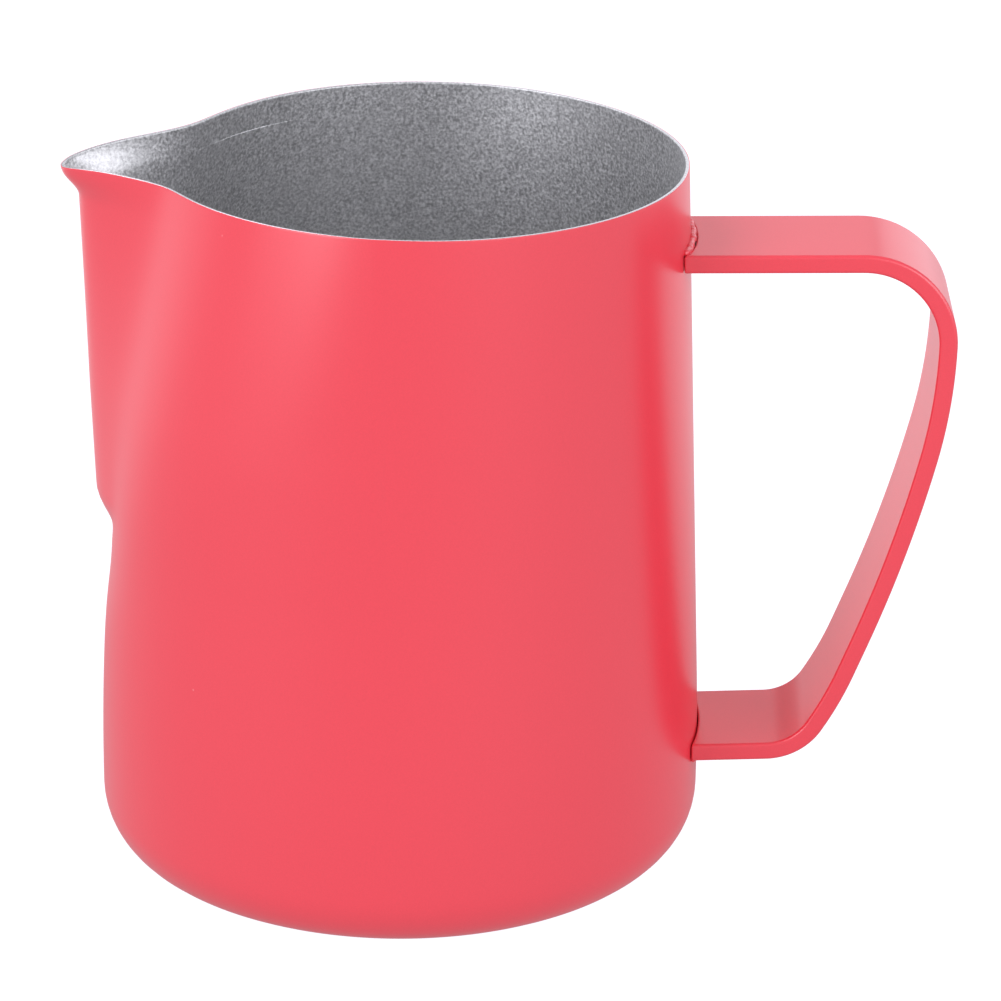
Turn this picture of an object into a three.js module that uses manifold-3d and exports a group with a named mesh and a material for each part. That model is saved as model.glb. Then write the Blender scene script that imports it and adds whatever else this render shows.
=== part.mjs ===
// Milk frothing pitcher, 600 ml class: a deep-drawn steel vessel with a pressed pour spout,
// a flat strap handle, and the two weld beads that hold the handle on.
// Millimetres, +Z up. The origin is the centre of the flat base, on the vessel's own axis.
// The spout points along -X and the handle along +X.
import * as THREE from 'three';
import { mergeVertices } from 'three/addons/utils/BufferGeometryUtils.js';
import Module from 'manifold-3d';

// ---- Vessel ----
const HEIGHT = 105;                 // rim plane above the base
const BELLY_RADIUS = 45;            // widest outside radius, low on the body
const RIM_RADIUS = 41;              // outside radius of the rim, away from the spout
const BASE_RADIUS = 38.5;           // edge of the flat base
const CORNER_HEIGHT = 8;            // height of the rounded corner above the base
const WALL = 0.6;                   // sheet thickness
const LEAN_HEIGHT = 26;             // the wall curves inwards up to here, and leans in evenly above

// ---- Pour spout: its ridge is the front line, its flanks run back from it to two valleys ----
const SPOUT_ROOT = 46.8;            // height where the ridge starts to leave the wall
const SPOUT_SWING = 7.7;            // height over which the ridge swings out
const RIDGE_REACH_LOW = 45.5;       // distance of the ridge from the axis just above its root
const RIDGE_REACH_HIGH = 47.2;      // the same at the rim, before the lip turns out
const RIM_HALF_ANGLE = 40;          // degrees between a flank and the spout's centre plane, at the rim
const ROOT_HALF_ANGLE = 63;         // the same at the root, where the flanks nearly follow the wall
const RIDGE_SOFTNESS = 2.3;         // how gently the two flanks meet
const VALLEY_SOFTNESS = 2;          // how gently a flank meets the body, once clear of the root
const PINCH = 6.8;                  // how far the body is drawn in beside the spout, at the rim
const PINCH_GROWTH = 1.15;          // how the pinch grows with height
const PINCH_FADE = 2;               // and how it fades with angle
const PINCH_SPREAD_RIM = 114;       // degrees from the spout where the pinch has faded out, at the rim
const PINCH_SPREAD_ROOT = 36;       // the same at the root
const BULGE = { out: 0.5, angle: 115, spread: 35 };  // sides of the rim, pushed out by the pinch
const DIMPLE = { depth: 0.9, height: 9, spread: 25 };  // hollow in the wall around the spout's root

// ---- Rim ----
const LIP = { height: 5.8, out: 2.35, outSpread: 14, drop: 1.3, dropSpread: 7.5 };  // turned-out tip
// Gentle fall of the rim towards the spout and, less, towards the handle.
const SAG = { spout: 1.2, spoutSpread: 39, handle: 0.33, handleSpread: 60, depth: 25 };

// ---- Handle ----
const STRAP_WIDTH = 19.9;
const STRAP_THICKNESS = 2.65;
const STRAP_EDGE_RADIUS = 0.5;
const UPPER_ARM_RISE = 1.7;         // degrees by which the upper arm climbs away from the wall
const LOWER_ARM_RISE = 3.4;         // the same for the lower arm
const UPPER_ARM_TOP = 94;           // top face of the upper arm, where it meets the wall
const LOWER_ARM_BOTTOM = 15.3;      // bottom face of the lower arm, where it meets the wall
const HANDLE_REACH = 79.8;          // outermost point of the handle from the axis
const UPPER_BEND_RADIUS = 13.5;     // this and the next radii are of the strap's outer face
const GRIP_TOP_RADIUS = 81;         // the grip curves inwards on its way down, at first in this bend
const GRIP_TOP_LEAN = 12.6;         // degrees from upright where that bend ends
const GRIP_RADIUS = 220;            // and then in this gentler one
const GRIP_LEAN = 20.5;             // degrees from upright where that ends, and the grip runs straight
const GRIP_FOOT_RADIUS = 55;        // the grip's foot curves again
const GRIP_FOOT_LEAN = 31;          // degrees from upright where the foot reaches the lower bend
const LOWER_BEND_RADIUS = 10;

// ---- Joint between handle and vessel ----
const JOINT_GAP = 0.3;              // left between every two neighbours
const BEAD_LEG = 1.5;               // size of a bead along the wall and along the strap
const BEAD_LENGTH = 18.6;           // across the strap, a little short of its rounded edges
const BEAD_BULGE = 0.62;            // how full a bead's face is: 0.5 is flat

// ---- Mesh resolution ----
const COLUMNS = 72;
const SPOUT_CROWDING = 0.6;         // 0 spaces the columns evenly, towards 1 crowds them at the spout
const CORNER_ROWS = 5;
const BODY_ROWS = 6;
const SPOUT_ROWS = 11;
const LIP_ROWS = 3;
const ARC_STEPS = 5;

const coat = new THREE.MeshStandardMaterial({ color: 0xf05a64, roughness: 0.45, metalness: 0 });
const weldCoat = new THREE.MeshStandardMaterial({ color: 0xd9505c, roughness: 0.6, metalness: 0 });

const { degToRad, lerp, radToDeg, smoothstep } = THREE.MathUtils;
const wasm = await Module();
wasm.setup();

// Max and min whose two inputs blend where they differ by less than about the softness.
function softMax(a, b, softness) {
  return (a + b + Math.hypot(a - b, softness)) / 2;
}

function softMin(a, b, softness) {
  return (a + b - Math.hypot(a - b, softness)) / 2;
}

function bell(value, spread) {
  return Math.exp(-((value / spread) ** 2));
}

// Outside radius of the plain body, without the spout.
function bodyRadius(height) {
  if (height < CORNER_HEIGHT) {
    const down = 1 - height / CORNER_HEIGHT;
    return lerp(BASE_RADIUS, BELLY_RADIUS, Math.sqrt(1 - down * down));
  }
  const curve = LEAN_HEIGHT - CORNER_HEIGHT;
  const lean = (BELLY_RADIUS - RIM_RADIUS) / (HEIGHT - CORNER_HEIGHT - curve / 2);
  const curved = Math.min(height - CORNER_HEIGHT, curve);
  const straight = Math.max(height - LEAN_HEIGHT, 0);
  return BELLY_RADIUS - lean * ((curved * curved) / (2 * curve) + straight);
}

// Outside radius of the wall. The angle is counted from the spout's centre plane.
function wallRadius(angle, height) {
  const hollow = bell(height - SPOUT_ROOT, DIMPLE.height) * bell(radToDeg(angle), DIMPLE.spread);
  const body = bodyRadius(height) - DIMPLE.depth * hollow;
  if (height <= SPOUT_ROOT) return body;

  const rise = (height - SPOUT_ROOT) / (HEIGHT - SPOUT_ROOT);
  const spread = degToRad(lerp(PINCH_SPREAD_ROOT, PINCH_SPREAD_RIM, rise));
  const nearness = Math.max(0, Math.cos((Math.PI / 2) * Math.min(Math.abs(angle) / spread, 1)));
  const bulge = BULGE.out * rise * bell(Math.abs(radToDeg(angle)) - BULGE.angle, BULGE.spread);
  const pinched = body + bulge - PINCH * rise ** PINCH_GROWTH * nearness ** PINCH_FADE;

  const rootReach = bodyRadius(SPOUT_ROOT) - DIMPLE.depth;
  const fullReach = lerp(RIDGE_REACH_LOW, RIDGE_REACH_HIGH, rise);
  const ridge = lerp(rootReach, fullReach, smoothstep(height, SPOUT_ROOT, SPOUT_ROOT + SPOUT_SWING));
  const halfAngle = degToRad(lerp(ROOT_HALF_ANGLE, RIM_HALF_ANGLE, rise));
  const turn = Math.min(Math.abs(angle) + halfAngle, Math.PI / 2);
  const flank = (ridge * Math.sin(halfAngle) + RIDGE_SOFTNESS) / Math.sin(turn);
  const front = ridge / Math.max(Math.cos(angle), 0.2);
  const spout = Math.abs(angle) < Math.PI / 2 ? softMin(flank, front, RIDGE_SOFTNESS) : 0;

  const softness = Math.max(VALLEY_SOFTNESS * Math.min(2.5 * rise, 1), 0.05);
  return softMax(pinched, spout, softness) - (softness * softness) / (4 * body);
}

function outsidePoint(angle, height) {
  const degrees = radToDeg(angle);
  const inLip = smoothstep(height, HEIGHT - LIP.height, HEIGHT);
  const out = LIP.out * bell(degrees, LIP.outSpread) * inLip;
  const drop = LIP.drop * bell(degrees, LIP.dropSpread) * inLip;
  const fall = SAG.spout * bell(degrees, SAG.spoutSpread)
    + SAG.handle * bell(180 - Math.abs(degrees), SAG.handleSpread);
  const sag = fall * smoothstep(height, HEIGHT - SAG.depth, HEIGHT);
  const radius = wallRadius(angle, height) + out;
  return new THREE.Vector3(-radius * Math.cos(angle), -radius * Math.sin(angle), height - drop - sag);
}

// The inside face lies one sheet thickness behind the outside face, along its normal.
function insidePoint(angle, height) {
  const turn = 0.002;
  const step = 0.02;
  const above = outsidePoint(angle, Math.min(height + step, HEIGHT));
  const below = outsidePoint(angle, Math.max(height - step, 0));
  const around = outsidePoint(angle + turn, height).sub(outsidePoint(angle - turn, height));
  const inward = above.sub(below).cross(around).normalize();
  return outsidePoint(angle, height).addScaledVector(inward, WALL);
}

// Heights of the wall's rows, from the edge of the base to the rim.
function rowHeights() {
  const heights = [0];
  for (let i = 1; i <= CORNER_ROWS; i += 1) {
    heights.push(CORNER_HEIGHT * (1 - Math.cos((i / CORNER_ROWS) * (Math.PI / 2))));
  }
  for (let i = 1; i <= BODY_ROWS; i += 1) {
    heights.push(lerp(CORNER_HEIGHT, SPOUT_ROOT, i / BODY_ROWS));
  }
  for (let i = 1; i <= SPOUT_ROWS; i += 1) {
    heights.push(lerp(SPOUT_ROOT, HEIGHT - LIP.height, (i / SPOUT_ROWS) ** 1.3));
  }
  for (let i = 1; i <= LIP_ROWS; i += 1) {
    heights.push(HEIGHT - LIP.height * (1 - i / LIP_ROWS));
  }
  return heights;
}

// A turned cup, closed on its axis inside and out, whose points then move onto the shaped wall.
function vesselGeometry() {
  const heights = rowHeights();
  const rows = [
    { place: () => new THREE.Vector3(0, 0, 0) },
    ...heights.map((height) => ({ place: (angle) => outsidePoint(angle, height) })),
    ...heights.reverse().map((height) => ({ place: (angle) => insidePoint(angle, height) })),
    { place: () => new THREE.Vector3(0, 0, WALL) },
  ];
  const profile = rows.map(({ place }) => {
    const behind = place(Math.PI);
    return new THREE.Vector2(behind.x, behind.z);
  });
  const geometry = new THREE.LatheGeometry(profile, COLUMNS);
  for (let column = 0; column <= COLUMNS; column += 1) {
    const even = 2 * Math.PI * ((column % COLUMNS) / COLUMNS - 0.5);
    const angle = even - SPOUT_CROWDING * Math.sin(even);
    rows.forEach(({ place }, row) => {
      geometry.attributes.position.setXYZ(column * rows.length + row, ...place(angle));
    });
  }
  geometry.computeVertexNormals();
  return geometry;
}

function toManifold(geometry) {
  const bare = geometry.clone();
  bare.deleteAttribute('normal');
  bare.deleteAttribute('uv');
  const merged = mergeVertices(bare, 1e-4);
  return new wasm.Manifold(new wasm.Mesh({
    numProp: 3,
    vertProperties: new Float32Array(merged.attributes.position.array),
    triVerts: new Uint32Array(merged.index.array),
  }));
}

function toGeometry(solid) {
  const { vertProperties, triVerts } = solid.getMesh();
  const geometry = new THREE.BufferGeometry();
  geometry.setAttribute('position', new THREE.BufferAttribute(vertProperties, 3));
  geometry.setIndex(new THREE.BufferAttribute(triVerts, 1));
  geometry.computeVertexNormals();
  return geometry;
}

// The plain body grown by the joint's gap: the handle's ends are cut back to it.
function bodyWithGap() {
  const profile = rowHeights().map((height) => new THREE.Vector2(bodyRadius(height) + JOINT_GAP, height));
  profile.unshift(new THREE.Vector2(0, 0));
  profile.push(new THREE.Vector2(0, HEIGHT));
  return toManifold(new THREE.LatheGeometry(profile, 2 * COLUMNS).rotateX(Math.PI / 2));
}

// The strap seen from the side: its outer face from the upper arm round to the lower arm, then its inner
// face back again. The x of this outline is the row's X, and its y is the row's Z.
function strapOutline() {
  const upperRise = Math.tan(degToRad(UPPER_ARM_RISE));
  const lowerRise = Math.tan(degToRad(LOWER_ARM_RISE));
  const upperDrop = 1 / Math.cos(degToRad(UPPER_ARM_RISE));
  const lowerDrop = 1 / Math.cos(degToRad(LOWER_ARM_RISE));
  const topLean = degToRad(GRIP_TOP_LEAN);
  const lean = degToRad(GRIP_LEAN);
  const footLean = degToRad(GRIP_FOOT_LEAN);
  const topAt = (x) => UPPER_ARM_TOP + (x - RIM_RADIUS) * upperRise;
  const bottomAt = (x) => LOWER_ARM_BOTTOM + (x - BELLY_RADIUS) * lowerRise;

  const upper = { x: HANDLE_REACH - UPPER_BEND_RADIUS, radius: UPPER_BEND_RADIUS };
  upper.y = topAt(upper.x) - upper.radius * upperDrop;
  const gripTop = { x: HANDLE_REACH - GRIP_TOP_RADIUS, y: upper.y, radius: GRIP_TOP_RADIUS };
  const back = GRIP_RADIUS - GRIP_TOP_RADIUS;
  const grip = {
    x: gripTop.x - back * Math.cos(topLean),
    y: gripTop.y + back * Math.sin(topLean),
    radius: GRIP_RADIUS,
  };

  // The foot and the lower bend slide down together, along the straight part of the grip, until the
  // bend touches the lower arm.
  const besideGrip = GRIP_RADIUS - GRIP_FOOT_RADIUS;
  const besideFoot = GRIP_FOOT_RADIUS - LOWER_BEND_RADIUS;
  const start = {
    x: grip.x + besideGrip * Math.cos(lean) + besideFoot * Math.cos(footLean),
    y: grip.y - besideGrip * Math.sin(lean) - besideFoot * Math.sin(footLean),
  };
  const spare = start.y - bottomAt(start.x) - LOWER_BEND_RADIUS * lowerDrop;
  const slide = spare / (Math.cos(lean) - Math.sin(lean) * lowerRise);
  const lower = {
    x: start.x - slide * Math.sin(lean),
    y: start.y - slide * Math.cos(lean),
    radius: LOWER_BEND_RADIUS,
  };
  const foot = {
    x: lower.x - besideFoot * Math.cos(footLean),
    y: lower.y + besideFoot * Math.sin(footLean),
    radius: GRIP_FOOT_RADIUS,
  };

  const level = degToRad(90 + UPPER_ARM_RISE);
  const upright = degToRad(-90 + LOWER_ARM_RISE);
  const insideX = RIM_RADIUS - 3;
  const outline = new THREE.Shape();
  outline.moveTo(insideX, topAt(insideX));
  outline.absarc(upper.x, upper.y, upper.radius, level, 0, true);
  outline.absarc(gripTop.x, gripTop.y, gripTop.radius, 0, -topLean, true);
  outline.absarc(grip.x, grip.y, grip.radius, -topLean, -lean, true);
  outline.absarc(foot.x, foot.y, foot.radius, -lean, -footLean, true);
  outline.absarc(lower.x, lower.y, lower.radius, -footLean, upright, true);
  outline.lineTo(insideX, bottomAt(insideX));
  outline.lineTo(insideX, bottomAt(insideX) + STRAP_THICKNESS * lowerDrop);
  outline.absarc(lower.x, lower.y, lower.radius - STRAP_THICKNESS, upright, -footLean, false);
  outline.absarc(foot.x, foot.y, foot.radius - STRAP_THICKNESS, -footLean, -lean, false);
  outline.absarc(grip.x, grip.y, grip.radius - STRAP_THICKNESS, -lean, -topLean, false);
  outline.absarc(gripTop.x, gripTop.y, gripTop.radius - STRAP_THICKNESS, -topLean, 0, false);
  outline.absarc(upper.x, upper.y, upper.radius - STRAP_THICKNESS, 0, level, false);
  outline.lineTo(insideX, topAt(insideX) - STRAP_THICKNESS * upperDrop);
  return outline;
}

function handleGeometry() {
  const strap = new THREE.ExtrudeGeometry(strapOutline(), {
    depth: STRAP_WIDTH - 2 * STRAP_EDGE_RADIUS,
    bevelThickness: STRAP_EDGE_RADIUS,
    bevelSize: STRAP_EDGE_RADIUS,
    bevelOffset: -STRAP_EDGE_RADIUS,
    bevelSegments: 2,
    curveSegments: ARC_STEPS,
  });
  strap.rotateX(Math.PI / 2);
  strap.translate(0, STRAP_WIDTH / 2 - STRAP_EDGE_RADIUS, 0);
  return toGeometry(toManifold(strap).subtract(bodyWithGap()));
}

// A fillet of weld along the wall, on the strap's face at faceHeight. upwards is 1 for a bead that
// stands on that face and -1 for one that hangs under it.
function beadGeometry(faceHeight, upwards) {
  const corner = faceHeight + upwards * JOINT_GAP;
  const wall = Math.max(bodyRadius(corner), bodyRadius(corner + upwards * BEAD_LEG)) + JOINT_GAP;
  const section = [
    [0, 0],
    [BEAD_LEG, 0],
    [BEAD_LEG * BEAD_BULGE, BEAD_LEG * BEAD_BULGE],
    [0, BEAD_LEG],
    [0, 0],
  ].map(([out, along]) => new THREE.Vector2(wall + out, corner + upwards * along));
  if (upwards < 0) section.reverse();
  const ring = new THREE.LatheGeometry(section, 2 * COLUMNS).rotateX(Math.PI / 2);
  const sector = new THREE.BoxGeometry(2 * BELLY_RADIUS, BEAD_LENGTH, HEIGHT);
  sector.translate(BELLY_RADIUS, 0, HEIGHT / 2);
  return toGeometry(toManifold(ring).intersect(toManifold(sector)));
}

const pitcher = new THREE.Group();
const pieces = {
  vessel: [vesselGeometry(), coat],
  handle: [handleGeometry(), coat],
  upper_weld: [beadGeometry(UPPER_ARM_TOP, 1), weldCoat],
  lower_weld: [beadGeometry(LOWER_ARM_BOTTOM, -1), weldCoat],
};
for (const [name, [geometry, material]] of Object.entries(pieces)) {
  const mesh = new THREE.Mesh(geometry, material);
  mesh.name = name;
  pitcher.add(mesh);
}

export default pitcher;
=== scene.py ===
import math

import bmesh
import bpy
import numpy as np
from mathutils import Matrix, Vector, noise


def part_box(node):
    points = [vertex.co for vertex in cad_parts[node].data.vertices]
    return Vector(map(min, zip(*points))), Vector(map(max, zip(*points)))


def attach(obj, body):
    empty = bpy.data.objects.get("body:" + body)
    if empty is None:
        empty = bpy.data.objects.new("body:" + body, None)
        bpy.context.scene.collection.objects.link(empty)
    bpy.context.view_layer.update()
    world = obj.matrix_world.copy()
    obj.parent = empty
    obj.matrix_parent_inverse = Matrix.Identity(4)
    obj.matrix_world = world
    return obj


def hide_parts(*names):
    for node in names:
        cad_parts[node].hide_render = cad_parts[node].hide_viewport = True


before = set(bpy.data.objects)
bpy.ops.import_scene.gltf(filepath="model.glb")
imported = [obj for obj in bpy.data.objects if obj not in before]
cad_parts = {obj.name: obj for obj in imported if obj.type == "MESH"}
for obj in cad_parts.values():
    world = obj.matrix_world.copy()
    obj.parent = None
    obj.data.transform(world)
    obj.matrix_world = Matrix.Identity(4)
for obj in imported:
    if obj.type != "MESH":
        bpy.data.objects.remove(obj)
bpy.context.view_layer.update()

# ---- The vessel's wall, with the CAD's own numbers ----
HEIGHT = 105.0
BELLY_RADIUS = 45.0
RIM_RADIUS = 41.0
BASE_RADIUS = 38.5
CORNER_HEIGHT = 8.0
LEAN_HEIGHT = 26.0
SPOUT_ROOT = 46.8
SPOUT_SWING = 7.7
RIDGE_REACH = (45.5, 47.2)          # just above the root, and at the rim
FLANK_ANGLE = (63.0, 40.0)          # degrees from the spout's centre plane, at the root and at the rim
RIDGE_SOFTNESS = 2.3
VALLEY_SOFTNESS = 2.0
VALLEY_GROWTH = 2.5                 # how fast the valley beside the spout softens above the root
SHARPEST_VALLEY = 0.05
WIDEST_COSINE = 0.2                 # keeps the spout's front plane finite far from the spout
PINCH = 6.8
PINCH_GROWTH = 1.15
PINCH_FADE = 2.0
PINCH_SPREAD = (36.0, 114.0)        # degrees, at the root and at the rim
BULGE_OUT, BULGE_ANGLE, BULGE_SPREAD = 0.5, 115.0, 35.0
DIMPLE_DEPTH, DIMPLE_HEIGHT, DIMPLE_SPREAD = 0.9, 9.0, 25.0
LIP_HEIGHT = 5.8
LIP_OUT, LIP_OUT_SPREAD = 2.35, 14.0
LIP_DROP, LIP_DROP_SPREAD = 1.3, 7.5
SPOUT_SAG, SPOUT_SAG_SPREAD = 1.2, 39.0
HANDLE_SAG, HANDLE_SAG_SPREAD = 0.33, 60.0
SAG_DEPTH = 25.0

# ---- Sheet, coat and rim, as depths behind the outside face ----
COAT_BACK = 0.14                    # the coat's hidden back, inside the steel
STEEL_FRONT = 0.08
STEEL_BACK = 0.60                   # the inside face of the vessel
# A faint line pressed into the inside, beside the spout: the wall is thinner above it.
LINE_STEP, LINE_ANGLE, LINE_SPREAD = 0.05, 46.0, 15.0
LINE_HEIGHTS = (HEIGHT - 4.55, HEIGHT - 4.4)
RIM_OUTER_ROUND = 0.10
RIM_INNER_ROUND = 0.14
POLISH_BACK = 0.52                  # the rim is polished to this depth
# The coat's thin edge, as (depth, below the rim).
COAT_EDGE = [(0.0, 0.11), (0.01, 0.06), (0.035, 0.03), (0.07, 0.024), (0.11, 0.05)]

# ---- Handle strap ----
STRAP_HALF_WIDTH = 9.95
STRAP_HALF_THICKNESS = 1.325
STRAP_EDGE_RADIUS = 0.5
UPPER_ARM_RISE = math.radians(1.7)
LOWER_ARM_RISE = math.radians(3.4)
UPPER_ARM_TOP = 94.0
LOWER_ARM_BOTTOM = 15.3
HANDLE_REACH = 79.8
UPPER_BEND_RADIUS = 13.5
GRIP_TOP_RADIUS = 81.0
GRIP_TOP_LEAN = math.radians(12.6)
GRIP_RADIUS = 220.0
GRIP_LEAN = math.radians(20.5)
GRIP_FOOT_RADIUS = 55.0
GRIP_FOOT_LEAN = math.radians(31)
LOWER_BEND_RADIUS = 10.0
END_GAP = 0.17                      # between the strap's ends and the wall
END_ROUND = 0.28                    # rounding of the ends' edges
UPPER_END_RECESS = 0.75             # how far the upper end is cut back between its corners

# ---- Weld beads ----
BEAD_RADIUS = 0.52
BEAD_LIFT, BEAD_OUT = 0.10, 0.27    # the roll's middle, from the strap's face and from the wall
BEAD_TAPER = 0.7                    # length of its rounded ends
BEAD_RIPPLE_LENGTH = 1.35

# ---- Looks: a texture's scale counts its cells in a metre, and depths are in metres ----
COAT_REDS = ((0.905, 0.048, 0.076), (0.825, 0.042, 0.065))
WELD_REDS = ((0.88, 0.052, 0.080), (0.80, 0.044, 0.068))
COAT_ROUGHNESS, WELD_ROUGHNESS = 0.295, 0.3
COAT_PEEL_DEPTH, WELD_PEEL_DEPTH = 0.0000015, 0.00003
COAT_SPECULAR = 1.0                 # twice the usual reflection: the coat has a pearly sheen
COAT_GRAIN_SCALE = 4200
SPECK_SCALE = 230
SPECK_EDGE = (0.02, 0.05)           # a speck fades between these distances from its middle, in cells
SPECK_RARITY = 0.86                 # a cell has a speck where its random shade is above this
SPECK_STRENGTH = 0.35
PATCH_SCALE, PATCH_CONTRAST = 25, 0.025
PEEL_SCALE = 900
STEEL_GREYS = ((0.50, 0.50, 0.505), (0.99, 0.99, 0.99))
STEEL_CLOUD_GREY = (0.80, 0.80, 0.80)
RIM_GREY = (0.86, 0.86, 0.87)
STEEL_ROUGHNESS = (0.42, 0.55)
RIM_SMOOTHER = 0.2                  # how much less rough the polished rim is
PIT_STRENGTH, PIT_DEPTH = 0.6, 0.00006
STEEL_GRAIN_SCALE = 2300
STEEL_CLOUD_SCALE, STEEL_CLOUD_SHARE = 90, 0.25
NOISE_RANGE = (0.3, 0.7)            # most of a noise texture's values lie between these

# ---- Light: a softbox has a name, its turn and lift in degrees, its size, and its power in watts ----
SOFTBOX_DISTANCE = 1.3
SOFTBOX_AIM = 0.06                  # the height that they all face
SOFTBOXES = [
    ("front_left", -40, 18, (0.45, 0.7), 4.1),
    ("far_left", -60, 18, (0.45, 0.7), 2.0),
    ("high_left", -60, 50, (0.8, 0.7), 2.0),
    ("back_left", -120, 50, (0.8, 0.7), 5.1),
    ("front", 20, 18, (0.45, 0.7), 0.8),
    ("front_right", 40, 18, (0.45, 0.7), 3.5),
    ("right", 60, 18, (0.45, 0.7), 1.35),
    ("far_right", 80, 18, (0.45, 0.7), 1.6),
    ("back_right", 157, 8, (0.5, 0.7), 0.9),
    ("back", 180, 18, (0.45, 0.7), 0.4),
]
FLOOR_GLOW = (0.44, 0.8)            # around the pitcher, and behind it
FLOOR_BACK = (0.06, 0.2)            # the glow changes between these distances behind the pitcher
FLOOR_HALF_SIZE = 4.0
ROOM_GLOW = 0.53
LIGHT_COLOUR = (1.0, 1.0, 1.07)

# ---- Mesh resolution ----
BASE_SHARES = (0.15, 0.4, 0.65, 0.85, 0.95)  # radii of the base's rings, as shares of its edge's
SPOUT_BAND = (36.0, 58.0)           # the rows are closer between these heights, around the spout's root
TOP_ROW = HEIGHT - 0.6
ROUND_STEPS = 7                     # around each edge of the strap
COLUMNS = 384
SPOUT_CROWDING = 0.7

vessel_low, vessel_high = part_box("vessel")
MM = (vessel_high.y - vessel_low.y) / (2 * BELLY_RADIUS)


# ---- Shape functions ----
def lerp(a, b, share):
    return a + (b - a) * share


def smooth_step(value, low, high):
    share = np.clip((value - low) / (high - low), 0, 1)
    return share * share * (3 - 2 * share)


def soft_max(a, b, softness):
    return (a + b + np.hypot(a - b, softness)) / 2


def soft_min(a, b, softness):
    return (a + b - np.hypot(a - b, softness)) / 2


def bell(value, spread):
    return np.exp(-((value / spread) ** 2))


def body_radius(height):
    """Outside radius of the plain body, without the spout."""
    down = 1 - np.clip(height, 0, CORNER_HEIGHT) / CORNER_HEIGHT
    corner = lerp(BASE_RADIUS, BELLY_RADIUS, np.sqrt(1 - down * down))
    curve = LEAN_HEIGHT - CORNER_HEIGHT
    lean = (BELLY_RADIUS - RIM_RADIUS) / (HEIGHT - CORNER_HEIGHT - curve / 2)
    curved = np.clip(height - CORNER_HEIGHT, 0, curve)
    straight = np.maximum(height - LEAN_HEIGHT, 0)
    above = BELLY_RADIUS - lean * (curved * curved / (2 * curve) + straight)
    return np.where(height < CORNER_HEIGHT, corner, above)


def wall_radius(angle, height):
    """Outside radius of the wall. The angle is counted from the spout's centre plane."""
    turned = np.abs(angle)
    hollow = bell(height - SPOUT_ROOT, DIMPLE_HEIGHT) * bell(np.degrees(angle), DIMPLE_SPREAD)
    body = body_radius(height) - DIMPLE_DEPTH * hollow
    rise = np.clip((height - SPOUT_ROOT) / (HEIGHT - SPOUT_ROOT), 0, 1)

    spread = np.radians(lerp(*PINCH_SPREAD, rise))
    nearness = np.maximum(0, np.cos(math.pi / 2 * np.minimum(turned / spread, 1)))
    bulge = BULGE_OUT * rise * bell(np.degrees(turned) - BULGE_ANGLE, BULGE_SPREAD)
    pinched = body + bulge - PINCH * rise ** PINCH_GROWTH * nearness ** PINCH_FADE

    root_reach = body_radius(SPOUT_ROOT) - DIMPLE_DEPTH
    swing = smooth_step(height, SPOUT_ROOT, SPOUT_ROOT + SPOUT_SWING)
    ridge = lerp(root_reach, lerp(*RIDGE_REACH, rise), swing)
    half_angle = np.radians(lerp(*FLANK_ANGLE, rise))
    turn = np.minimum(turned + half_angle, math.pi / 2)
    flank = (ridge * np.sin(half_angle) + RIDGE_SOFTNESS) / np.sin(turn)
    front = ridge / np.maximum(np.cos(angle), WIDEST_COSINE)
    spout = np.where(turned < math.pi / 2, soft_min(flank, front, RIDGE_SOFTNESS), 0)

    softness = np.maximum(VALLEY_SOFTNESS * np.minimum(VALLEY_GROWTH * rise, 1), SHARPEST_VALLEY)
    shaped = soft_max(pinched, spout, softness) - softness * softness / (4 * body)
    return np.where(height <= SPOUT_ROOT, body, shaped)


def outside_point(angle, height):
    degrees = np.degrees(angle)
    in_lip = smooth_step(height, HEIGHT - LIP_HEIGHT, HEIGHT)
    drop = LIP_DROP * bell(degrees, LIP_DROP_SPREAD) * in_lip
    fall = SPOUT_SAG * bell(degrees, SPOUT_SAG_SPREAD)
    fall = fall + HANDLE_SAG * bell(180 - np.abs(degrees), HANDLE_SAG_SPREAD)
    sag = fall * smooth_step(height, HEIGHT - SAG_DEPTH, HEIGHT)
    radius = wall_radius(angle, height) + LIP_OUT * bell(degrees, LIP_OUT_SPREAD) * in_lip
    return np.stack([-radius * np.cos(angle), -radius * np.sin(angle), height - drop - sag], -1)


def unit(vectors):
    return vectors / np.linalg.norm(vectors, axis=-1, keepdims=True)


def wall_ring(angles, height, depth, below=0.0):
    """Points at one height, some depth behind the outside face, and some way down along the wall."""
    turn, step = 0.002, 0.02
    heights = np.full_like(angles, height)
    above = outside_point(angles, np.minimum(heights + step, HEIGHT))
    under = outside_point(angles, np.maximum(heights - step, 0))
    around = outside_point(angles + turn, heights) - outside_point(angles - turn, heights)
    up = unit(above - under)
    inward = unit(np.cross(up, around))
    return outside_point(angles, heights) + depth * inward - below * up


# ---- Mesh helpers ----
def bridge(rings, size):
    """Quads between rings of the same size, each ring a closed loop."""
    faces = []
    for ring in range(rings - 1):
        for i in range(size):
            j = (i + 1) % size
            a, b = ring * size, (ring + 1) * size
            faces.append((a + i, a + j, b + j, b + i))
    return faces


def closed_at_poles(rings, first_pole, last_pole):
    """Vertices and faces of a skin over the rings, closed by a fan at each end."""
    count, size = len(rings), len(rings[0])
    vertices = np.concatenate([*rings, [first_pole], [last_pole]])
    first, last = count * size, count * size + 1
    faces = bridge(count, size)
    for i in range(size):
        j = (i + 1) % size
        faces.append((first, j, i))
        faces.append((last, (count - 1) * size + i, (count - 1) * size + j))
    return vertices, faces


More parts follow.
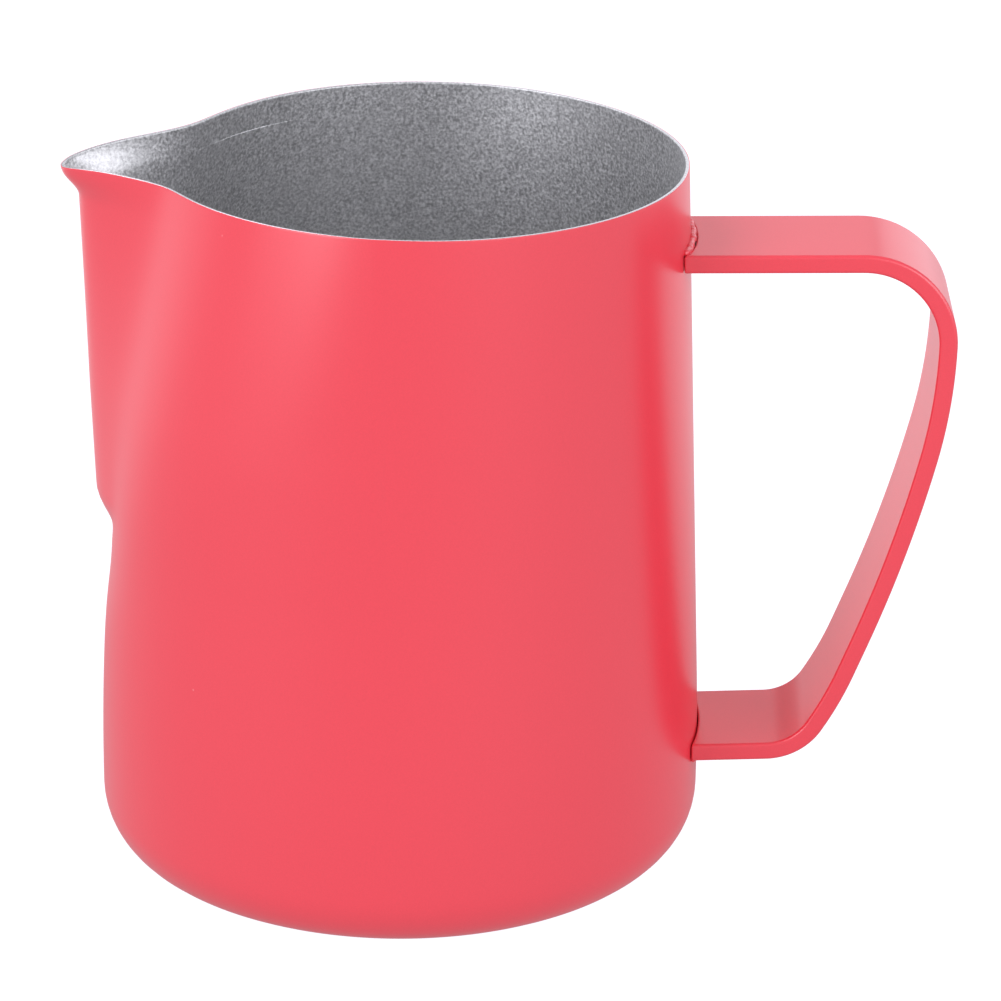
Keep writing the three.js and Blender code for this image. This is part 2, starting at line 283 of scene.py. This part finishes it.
def add_piece(name, vertices, faces, material, slot, node):
    mesh = bpy.data.meshes.new(name)
    mesh.from_pydata((np.asarray(vertices) * MM).tolist(), [], faces)
    work = bmesh.new()
    work.from_mesh(mesh)
    bmesh.ops.recalc_face_normals(work, faces=work.faces)
    work.to_mesh(mesh)
    work.free()
    mesh.shade_smooth()
    mesh.materials.append(material)
    piece = bpy.data.objects.new(name, mesh)
    bpy.context.scene.collection.objects.link(piece)
    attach(piece, "root")
    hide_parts(node)
    return piece


# ---- Materials ----
def new_material(name):
    """A material with a Principled shader, its node tree, and the object's own coordinates."""
    material = bpy.data.materials.new(name)
    material.use_nodes = True
    tree = material.node_tree
    shader = next(n for n in tree.nodes if n.type == "BSDF_PRINCIPLED")
    place = tree.nodes.new("ShaderNodeTexCoord").outputs["Object"]
    return material, tree, shader, place


def noise_value(tree, place, scale, detail=2.0, roughness=0.5):
    node = tree.nodes.new("ShaderNodeTexNoise")
    node.inputs["Scale"].default_value = scale
    node.inputs["Detail"].default_value = detail
    node.inputs["Roughness"].default_value = roughness
    tree.links.new(place, node.inputs["Vector"])
    return node.outputs["Fac"]


def ranged(tree, value, low, high, to_low, to_high):
    node = tree.nodes.new("ShaderNodeMapRange")
    for name, number in (("From Min", low), ("From Max", high), ("To Min", to_low), ("To Max", to_high)):
        node.inputs[name].default_value = number
    tree.links.new(value, node.inputs["Value"])
    return node.outputs["Result"]


def math_value(tree, operation, first, second):
    node = tree.nodes.new("ShaderNodeMath")
    node.operation = operation
    for socket, value in zip(node.inputs, (first, second)):
        if isinstance(value, (int, float)):
            socket.default_value = value
        else:
            tree.links.new(value, socket)
    return node.outputs["Value"]


def mixed(tree, factor, first, second):
    node = tree.nodes.new("ShaderNodeMix")
    node.data_type = "RGBA"
    tree.links.new(factor, node.inputs["Factor"])
    for socket, colour in ((node.inputs[6], first), (node.inputs[7], second)):
        if isinstance(colour, tuple):
            socket.default_value = (*colour, 1)
        else:
            tree.links.new(colour, socket)
    return node.outputs[2]


def bumped(tree, shader, height, strength, distance):
    node = tree.nodes.new("ShaderNodeBump")
    node.inputs["Strength"].default_value = strength
    node.inputs["Distance"].default_value = distance
    tree.links.new(height, node.inputs["Height"])
    tree.links.new(node.outputs["Normal"], shader.inputs["Normal"])


def coat_material(name, light, deep, roughness, peel_depth):
    """Satin powder coat: two shades of fine grains, a few specks, and a faint orange peel."""
    material, tree, shader, place = new_material(name)
    grains = noise_value(tree, place, COAT_GRAIN_SCALE, 1)
    colour = mixed(tree, grains, light, deep)

    specks = tree.nodes.new("ShaderNodeTexVoronoi")
    specks.inputs["Scale"].default_value = SPECK_SCALE
    tree.links.new(place, specks.inputs["Vector"])
    near = ranged(tree, specks.outputs["Distance"], *SPECK_EDGE, 1, 0)
    chosen = math_value(tree, "GREATER_THAN", specks.outputs["Color"], SPECK_RARITY)
    spotted = math_value(tree, "MULTIPLY", math_value(tree, "MULTIPLY", near, chosen), SPECK_STRENGTH)
    pale = tuple(lerp(c, 1.0, 0.5) for c in light)
    tree.links.new(mixed(tree, spotted, colour, pale), shader.inputs["Base Color"])

    patches = noise_value(tree, place, PATCH_SCALE)
    tree.links.new(
        ranged(tree, patches, 0, 1, roughness - PATCH_CONTRAST, roughness + PATCH_CONTRAST),
        shader.inputs["Roughness"],
    )
    shader.inputs["Specular IOR Level"].default_value = COAT_SPECULAR
    bumped(tree, shader, noise_value(tree, place, PEEL_SCALE, 1), 1.0, peel_depth)
    return material


def blasted_steel_material():
    """Bead-blasted steel inside, with a polished bare rim."""
    material, tree, shader, place = new_material("blasted_steel")
    shader.inputs["Metallic"].default_value = 1.0
    rim = tree.nodes.new("ShaderNodeAttribute")
    rim.attribute_name = "polish"
    polished = rim.outputs["Fac"]

    grain = noise_value(tree, place, STEEL_GRAIN_SCALE, 1.5, 0.6)
    clouds = noise_value(tree, place, STEEL_CLOUD_SCALE, 4)
    mottled = mixed(tree, ranged(tree, grain, *NOISE_RANGE, 0, 1), *STEEL_GREYS)
    cloudy = ranged(tree, clouds, *NOISE_RANGE, 0, STEEL_CLOUD_SHARE)
    clouded = mixed(tree, cloudy, mottled, STEEL_CLOUD_GREY)
    tree.links.new(mixed(tree, polished, clouded, RIM_GREY), shader.inputs["Base Color"])

    rough = ranged(tree, grain, *NOISE_RANGE, *STEEL_ROUGHNESS)
    smoother = math_value(tree, "MULTIPLY", polished, RIM_SMOOTHER)
    tree.links.new(math_value(tree, "SUBTRACT", rough, smoother), shader.inputs["Roughness"])
    pitted = math_value(tree, "MULTIPLY", grain, math_value(tree, "SUBTRACT", 1.0, polished))
    bumped(tree, shader, pitted, PIT_STRENGTH, PIT_DEPTH)
    return material


coat = coat_material("satin_coat", *COAT_REDS, COAT_ROUGHNESS, COAT_PEEL_DEPTH)
weld_coat = coat_material("coated_weld", *WELD_REDS, WELD_ROUGHNESS, WELD_PEEL_DEPTH)
steel = blasted_steel_material()


# ---- Vessel ----
def wall_heights():
    """Heights of the wall's rows, from the edge of the base to just under the rim."""
    quarter = np.linspace(0, math.pi / 2, 13)
    return np.concatenate([
        CORNER_HEIGHT * (1 - np.cos(quarter)),
        np.linspace(CORNER_HEIGHT, SPOUT_BAND[0], 11)[1:],
        np.linspace(*SPOUT_BAND, 23)[1:],
        np.linspace(SPOUT_BAND[1], HEIGHT - LIP_HEIGHT, 23)[1:],
        np.linspace(HEIGHT - LIP_HEIGHT, LINE_HEIGHTS[0], 4)[1:],
        np.linspace(*LINE_HEIGHTS, 4)[1:],
        np.linspace(LINE_HEIGHTS[1], TOP_ROW, 9)[1:],
    ])


even = 2 * math.pi * (np.arange(COLUMNS) / COLUMNS - 0.5)
angles = even - SPOUT_CROWDING * np.sin(even)
heights = wall_heights()


def base_rings(depth):
    """Flat rings of the base, from near its centre to near its edge."""
    edge = wall_ring(angles, 0.0, 0.0)
    rings = []
    for share in BASE_SHARES:
        ring = edge * share
        ring[:, 2] = depth
        rings.append(ring)
    return rings


def line_depth(height):
    """How much less deep the inside face is at a height, around the wall."""
    near_line = bell(np.abs(np.degrees(angles)) - LINE_ANGLE, LINE_SPREAD)[:, None]
    below_rim = 1 - smooth_step(height, HEIGHT - 1.5, TOP_ROW)
    return LINE_STEP * near_line * below_rim * float(height > sum(LINE_HEIGHTS) / 2)


def shell(front, back, rim, line=False):
    """Rings up one face, over the rim and down the other. The rim is a list of (depth, below)."""
    rings = base_rings(front)
    rings += [wall_ring(angles, height, front) for height in heights]
    rings += [wall_ring(angles, HEIGHT, depth, below) for depth, below in rim]
    rings += [wall_ring(angles, height, back - line * line_depth(height)) for height in heights[::-1]]
    rings += base_rings(back)[::-1]
    return closed_at_poles(rings, (0, 0, front), (0, 0, back))


def rim_arc(centre_depth, radius, start, end, steps=5):
    turns = np.radians(np.linspace(start, end, steps))
    return [(centre_depth + radius * math.cos(t), radius - radius * math.sin(t)) for t in turns]


add_piece(
    "vessel_coat",
    *shell(0.0, COAT_BACK, [(0.0, 0.32), *COAT_EDGE, (COAT_BACK, 0.2), (COAT_BACK, 0.32)]),
    coat, "coat", "vessel",
)
steel_rim = [
    (STEEL_FRONT, 0.35),
    *rim_arc(STEEL_FRONT + RIM_OUTER_ROUND, RIM_OUTER_ROUND, 180, 90),
    *rim_arc(STEEL_BACK - RIM_INNER_ROUND, RIM_INNER_ROUND, 90, 0),
    (STEEL_BACK, 0.35),
]
inside = add_piece(
    "vessel_steel",
    *shell(STEEL_FRONT, STEEL_BACK, steel_rim, True),
    steel, "steel", "vessel",
)

# The rim's flat top and its outer rounding are polished, and the rest of the steel is blasted.
first_rim_row = len(BASE_SHARES) + len(heights)
row_polish = np.zeros(first_rim_row + len(steel_rim) + first_rim_row)
for row, (depth, _) in enumerate(steel_rim):
    row_polish[first_rim_row + row] = 1.0 if depth < POLISH_BACK else 0.0
attribute = inside.data.attributes.new("polish", "FLOAT", "POINT")
attribute.data.foreach_set("value", np.append(np.repeat(row_polish, COLUMNS), (0, 0)).astype(np.float32))


# ---- Handle ----
def strap_path():
    """Stations along the strap's outer face, from the upper arm to the lower: points and normals in XZ."""
    lower_rise = math.tan(LOWER_ARM_RISE)
    upper_x = HANDLE_REACH - UPPER_BEND_RADIUS
    upper_z = UPPER_ARM_TOP + (upper_x - RIM_RADIUS) * math.tan(UPPER_ARM_RISE)
    upper_z -= UPPER_BEND_RADIUS / math.cos(UPPER_ARM_RISE)
    top_x = HANDLE_REACH - GRIP_TOP_RADIUS
    back = GRIP_RADIUS - GRIP_TOP_RADIUS
    grip_x = top_x - back * math.cos(GRIP_TOP_LEAN)
    grip_z = upper_z + back * math.sin(GRIP_TOP_LEAN)
    beside_grip = GRIP_RADIUS - GRIP_FOOT_RADIUS
    beside_foot = GRIP_FOOT_RADIUS - LOWER_BEND_RADIUS
    start_x = grip_x + beside_grip * math.cos(GRIP_LEAN) + beside_foot * math.cos(GRIP_FOOT_LEAN)
    start_z = grip_z - beside_grip * math.sin(GRIP_LEAN) - beside_foot * math.sin(GRIP_FOOT_LEAN)
    floor_z = LOWER_ARM_BOTTOM + (start_x - BELLY_RADIUS) * lower_rise
    spare = start_z - floor_z - LOWER_BEND_RADIUS / math.cos(LOWER_ARM_RISE)
    slide = spare / (math.cos(GRIP_LEAN) - math.sin(GRIP_LEAN) * lower_rise)
    lower_x = start_x - slide * math.sin(GRIP_LEAN)
    lower_z = start_z - slide * math.cos(GRIP_LEAN)
    foot_x = lower_x - beside_foot * math.cos(GRIP_FOOT_LEAN)
    foot_z = lower_z + beside_foot * math.sin(GRIP_FOOT_LEAN)

    points, normals = [], []
    arcs = [
        (upper_x, upper_z, UPPER_BEND_RADIUS, math.pi / 2 + UPPER_ARM_RISE, 0, 28),
        (top_x, upper_z, GRIP_TOP_RADIUS, 0, -GRIP_TOP_LEAN, 14),
        (grip_x, grip_z, GRIP_RADIUS, -GRIP_TOP_LEAN, -GRIP_LEAN, 14),
        (foot_x, foot_z, GRIP_FOOT_RADIUS, -GRIP_LEAN, -GRIP_FOOT_LEAN, 8),
        (lower_x, lower_z, LOWER_BEND_RADIUS, -GRIP_FOOT_LEAN, -math.pi / 2 + LOWER_ARM_RISE, 24),
    ]
    for x, z, radius, first, last, steps in arcs:
        for turn in np.linspace(first, last, steps):
            normal = np.array([math.cos(turn), math.sin(turn)])
            points.append(np.array([x, z]) + radius * normal)
            normals.append(normal)
    keep = [0] + [i for i in range(1, len(points)) if np.linalg.norm(points[i] - points[i - 1]) > 1e-3]
    return [(points[i], normals[i]) for i in keep]


def strap_section(inset):
    """Rounded rectangle across the strap, as (y, outwards) pairs. Point i mirrors point -1 - i."""
    width = STRAP_HALF_WIDTH - inset
    thickness = STRAP_HALF_THICKNESS - inset
    corner = STRAP_EDGE_RADIUS - inset
    support = 0.08
    half = [(-width, thickness - corner - support)]
    for turn in np.radians(np.linspace(180, 90, ROUND_STEPS)):
        across = -width + corner + corner * math.cos(turn)
        half.append((across, thickness - corner + corner * math.sin(turn)))
    flat = width - corner - support
    half += [(y, thickness) for y in np.linspace(-flat, flat, 15)]
    half += [(-y, out) for y, out in half[ROUND_STEPS:0:-1]]
    half.append((width, thickness - corner - support))
    return np.array(half + [(y, -out) for y, out in half[::-1]])


def strap_ring(point, normal, inset=0.0):
    section = strap_section(inset)
    out = section[:, 1] - STRAP_HALF_THICKNESS
    return np.stack([
        point[0] + out * normal[0],
        section[:, 0],
        point[1] + out * normal[1],
    ], -1)


def end_ring(point, normal, inset, clearance):
    """The same ring, with each point slid along its arm until it is that far from the wall."""
    ring = strap_ring(point, normal, inset)
    slope = -normal[0] / normal[1]
    for _ in range(6):
        x = np.sqrt((body_radius(ring[:, 2]) + clearance) ** 2 - ring[:, 1] ** 2)
        ring[:, 2] += (x - ring[:, 0]) * slope
        ring[:, 0] = x
    return ring


def wander(x, y, z):
    """Smooth noise between about -1 and 1."""
    return noise.noise(Vector((x, y, z)))


def cut_gap(y, seed, recess):
    """Gap between the wall and the strap's end at y: uneven, and recessed between the strap's corners."""
    uneven = 0.07 * wander(y * 0.45, seed, 0) + 0.05 * wander(y * 1.3, seed, 5)
    middle = 1 - min(1.0, abs(y) / STRAP_HALF_WIDTH) ** 4
    return END_GAP + (recess + uneven) * middle


def strap_end(point, normal, seed, recess):
    """Rings from the wall outwards: the rounded end, and the start of the straight arm."""
    section = strap_section(0.0)
    outer = np.clip((section[:, 1] / STRAP_HALF_THICKNESS + 1) / 2, 0, 1)
    gap = END_GAP + outer * np.array([cut_gap(y, seed, recess) - END_GAP for y in section[:, 0]])
    rings = []
    for turn in np.radians(np.linspace(90, 0, 6)):
        inset = END_ROUND * (1 - math.cos(turn))
        rings.append(end_ring(point, normal, inset, gap + END_ROUND * (1 - math.sin(turn))))
    rings.append(end_ring(point, normal, 0.0, gap + END_ROUND + 0.2))
    wall = rings[-1]
    arm = strap_ring(point, normal)
    rings += [lerp(wall, arm, share) for share in (0.15, 0.35, 0.6, 0.8)]
    return rings


path = strap_path()
strap_rings = strap_end(*path[0], seed=2.0, recess=UPPER_END_RECESS)
strap_rings += [strap_ring(*station) for station in path]
strap_rings += strap_end(*path[-1], seed=9.0, recess=0.0)[::-1]
ring_size = len(strap_rings[0])
strap_faces = bridge(len(strap_rings), ring_size)
for start in (0, (len(strap_rings) - 1) * ring_size):
    for i in range(ring_size // 2 - 1):
        mirror = ring_size - 1 - i
        strap_faces.append((start + i, start + i + 1, start + mirror - 1, start + mirror))
add_piece("handle_strap", np.concatenate(strap_rings), strap_faces, coat, "coat", "handle")


# ---- Weld beads ----
def bead(name, node, face, upwards):
    """An uneven roll of weld lying in the corner between the wall and the strap's face."""
    half_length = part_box(node)[1].y / MM
    rings = []
    across = np.linspace(-half_length, half_length, 120)
    for y in across:
        end = min(1.0, (half_length - abs(y)) / BEAD_TAPER)
        fullness = math.sqrt(max(0.0, 1 - (1 - end) ** 2))
        ripple_turns = y / BEAD_RIPPLE_LENGTH + 0.35 * wander(y * 0.4, face, 0)
        ripple = 0.5 + 0.5 * math.sin(2 * math.pi * ripple_turns)
        radius = BEAD_RADIUS + 0.10 * wander(y * 0.45, 3.1, face) + 0.05 * ripple
        radius *= max(fullness, 0.05)
        lift = BEAD_LIFT + 0.10 * wander(y * 0.5, 7.7, face)
        reach = BEAD_OUT + 0.14 * wander(y * 0.55, 1.3, face)
        ring = []
        for turn in np.linspace(0, 2 * math.pi, 24, endpoint=False):
            lump = 1 + 0.16 * wander(y * 1.6, 2 * math.cos(turn), 2 * math.sin(turn) + face)
            out = reach + radius * lump * math.cos(turn)
            z = face + upwards * (lift + radius * lump * math.sin(turn))
            wall = math.sqrt(float(body_radius(np.array(z))) ** 2 - y * y)
            ring.append((wall + out, y, z))
        rings.append(np.array(ring))
    add_piece(name, *closed_at_poles(rings, rings[0].mean(0), rings[-1].mean(0)), weld_coat, "weld", node)


bead("upper_bead", "upper_weld", UPPER_ARM_TOP, 1)
bead("lower_bead", "lower_weld", LOWER_ARM_BOTTOM, -1)


# ---- Floor, light and camera ----
def camera_white(tree, strength):
    """1 for what the camera sees directly, and the given strength for the light it gives."""
    ray = tree.nodes.new("ShaderNodeLightPath")
    return math_value(tree, "MAXIMUM", ray.outputs["Is Camera Ray"], strength)


def add_floor(size):
    mesh = bpy.data.meshes.new("floor")
    corners = [(-1, -1), (1, -1), (1, 1), (-1, 1)]
    mesh.from_pydata([(x * size, y * size, 0) for x, y in corners], [], [(0, 1, 2, 3)])
    material, tree, shader, place = new_material("pale_floor")
    shader.inputs["Base Color"].default_value = (0.1, 0.1, 0.1, 1)
    shader.inputs["Roughness"].default_value = 0.8
    shader.inputs["Emission Color"].default_value = (*LIGHT_COLOUR, 1)
    split = tree.nodes.new("ShaderNodeSeparateXYZ")
    tree.links.new(place, split.inputs["Vector"])
    glow = ranged(tree, split.outputs["Y"], *FLOOR_BACK, *FLOOR_GLOW)
    tree.links.new(camera_white(tree, glow), shader.inputs["Emission Strength"])
    mesh.materials.append(material)
    floor = bpy.data.objects.new("floor", mesh)
    bpy.context.scene.collection.objects.link(floor)


def add_world():
    world = bpy.data.worlds.new("studio")
    world.use_nodes = True
    tree = world.node_tree
    background = tree.nodes["Background"]
    background.inputs["Color"].default_value = (*LIGHT_COLOUR, 1)
    tree.links.new(camera_white(tree, ROOM_GLOW), background.inputs["Strength"])
    bpy.context.scene.world = world


def add_softbox(name, turn, lift, size, power):
    """A softbox turned that many degrees to the right of the camera's side, and lifted by that many."""
    turn, lift = math.radians(turn), math.radians(lift)
    way = Vector((math.sin(turn) * math.cos(lift), -math.cos(turn) * math.cos(lift), math.sin(lift)))
    light = bpy.data.lights.new(name, "AREA")
    light.shape = "RECTANGLE"
    light.size, light.size_y = size
    light.energy = power
    light.color = LIGHT_COLOUR
    lamp = bpy.data.objects.new(name, light)
    lamp.location = Vector((0, 0, SOFTBOX_AIM)) + SOFTBOX_DISTANCE * way
    lamp.rotation_euler = (-way).to_track_quat("-Z", "Y").to_euler()
    bpy.context.scene.collection.objects.link(lamp)


def add_camera(place, pitch, yaw, roll, lens):
    """Pitch is how far it looks down, yaw how far it turns left of +Y, and roll turns the picture."""
    across = Vector((math.cos(yaw), math.sin(yaw), 0))
    ahead = Vector((-math.sin(yaw), math.cos(yaw), 0))
    up = Vector((0, 0, 1))
    forward = ahead * math.cos(pitch) - up * math.sin(pitch)
    above = up * math.cos(pitch) + ahead * math.sin(pitch)
    right = across * math.cos(roll) + above * math.sin(roll)
    top = above * math.cos(roll) - across * math.sin(roll)
    camera = bpy.data.objects.new("camera", bpy.data.cameras.new("camera"))
    camera.data.sensor_width = 36
    camera.data.lens = lens
    camera.data.clip_start = 0.05
    turned = Matrix((right, top, -forward)).transposed().to_4x4()
    camera.matrix_world = Matrix.Translation(place) @ turned
    bpy.context.scene.collection.objects.link(camera)
    bpy.context.scene.camera = camera


add_floor(FLOOR_HALF_SIZE)
add_world()
for softbox in SOFTBOXES:
    add_softbox(*softbox)
bpy.context.scene.view_settings.view_transform = "Standard"
add_camera(
    place=(0.03338, -0.50795, 0.25236),
    pitch=math.radians(21.486), yaw=math.radians(2.109), roll=math.radians(0.826), lens=132.66,
)
